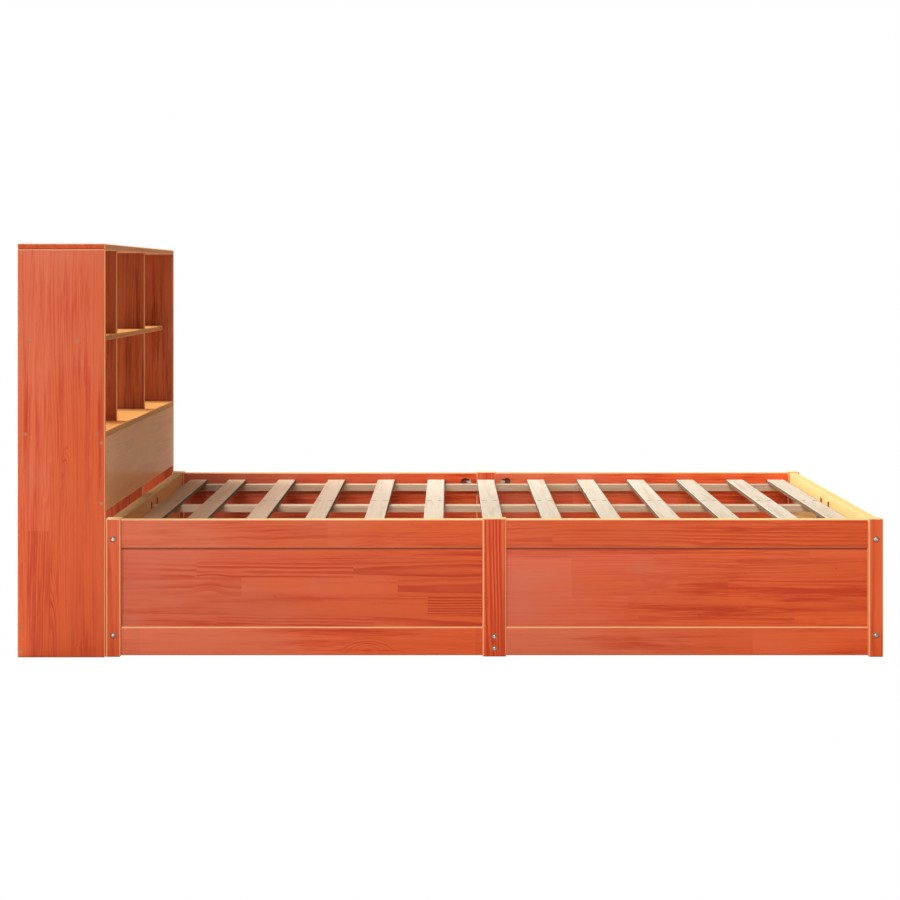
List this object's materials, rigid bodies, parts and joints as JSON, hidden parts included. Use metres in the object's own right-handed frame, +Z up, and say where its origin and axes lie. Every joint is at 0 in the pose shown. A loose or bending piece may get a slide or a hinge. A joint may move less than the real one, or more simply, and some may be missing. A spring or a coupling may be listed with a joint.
{
  "type": "bed frame",
  "caption": "Low wooden bed frame with panelled sides and ends, a slatted deck, and a tall bookcase headboard with compartments open front and back.",
  "frame": {"origin": "on the floor under the middle of the overall box", "axes": "+X along the bed from the bookcase towards the foot, +Y across it towards the far side, +Z up"},
  "size_m": [2.319, 1.5, 1.108],
  "materials": {
    "cabinet_outside": "satin red-brown stain and lacquer over pine",
    "cabinet_inside": "satin red-brown stain and lacquer over pine",
    "stained_posts": "satin red-brown stain and lacquer over pine",
    "stained_rails": "satin red-brown stain and lacquer over pine",
    "stained_panels": "satin red-brown stain and lacquer over edge-glued pine",
    "slat_pine": "planed, untreated",
    "plain_pine": "planed, untreated",
    "dowel_wood": "plain beech",
    "screw_caps": "plain wooden plug, lacquered over",
    "zinc_steel": "bright zinc plated",
    "dark_screws": "dull yellowed zinc"
  },
  "bodies": {
    "root": {"cabinet_side_near": "cabinet_outside", "cabinet_side_far": "cabinet_outside", "cabinet_top": "cabinet_outside", "cabinet_shelf": "cabinet_inside", "cabinet_floor": "cabinet_inside", "divider_upper_near": "cabinet_inside", "divider_upper_far": "cabinet_inside", "divider_lower_near": "cabinet_inside", "divider_lower_far": "cabinet_inside", "cabinet_fascia": "cabinet_outside", "cabinet_support": "cabinet_inside", "cabinet_rear_rail": "cabinet_outside", "post_head_near": "stained_posts", "post_head_far": "stained_posts", "post_foot_near": "stained_posts", "post_foot_far": "stained_posts", "mid_post_near": "stained_posts", "mid_post_far": "stained_posts", "mid_post_head": "stained_posts", "mid_post_foot": "stained_posts", "side_top_rail_near_head": "stained_rails", "side_top_rail_near_foot": "stained_rails", "side_top_rail_far_head": "stained_rails", "side_top_rail_far_foot": "stained_rails", "side_low_rail_near_head": "stained_rails", "side_low_rail_near_foot": "stained_rails", "side_low_rail_far_head": "stained_rails", "side_low_rail_far_foot": "stained_rails", "side_panel_near_head": "stained_panels", "side_panel_near_foot": "stained_panels", "side_panel_far_head": "stained_panels", "side_panel_far_foot": "stained_panels", "head_top_rail_near": "stained_rails", "head_top_rail_far": "stained_rails", "foot_top_rail_near": "stained_rails", "foot_top_rail_far": "stained_rails", "head_low_rail_near": "stained_rails", "head_low_rail_far": "stained_rails", "foot_low_rail_near": "stained_rails", "foot_low_rail_far": "stained_rails", "head_panel_near": "stained_panels", "head_panel_far": "stained_panels", "foot_panel_near": "stained_panels", "foot_panel_far": "stained_panels", "ledger_near": "plain_pine", "ledger_far": "plain_pine", "centre_beam": "plain_pine", "beam_cleats": "plain_pine", "cross_rail": "plain_pine", "centre_leg": "plain_pine", "slats": "slat_pine", "frame_bolts": "zinc_steel", "barrel_nuts": "zinc_steel", "pocket_bolts": "zinc_steel", "frame_dowels": "dowel_wood", "cabinet_dowels": "dowel_wood", "cabinet_screws": "screw_caps", "slat_screws": "dark_screws", "ledger_screws": "zinc_steel", "cleat_screws": "dark_screws"}
  },
  "joints": []
}
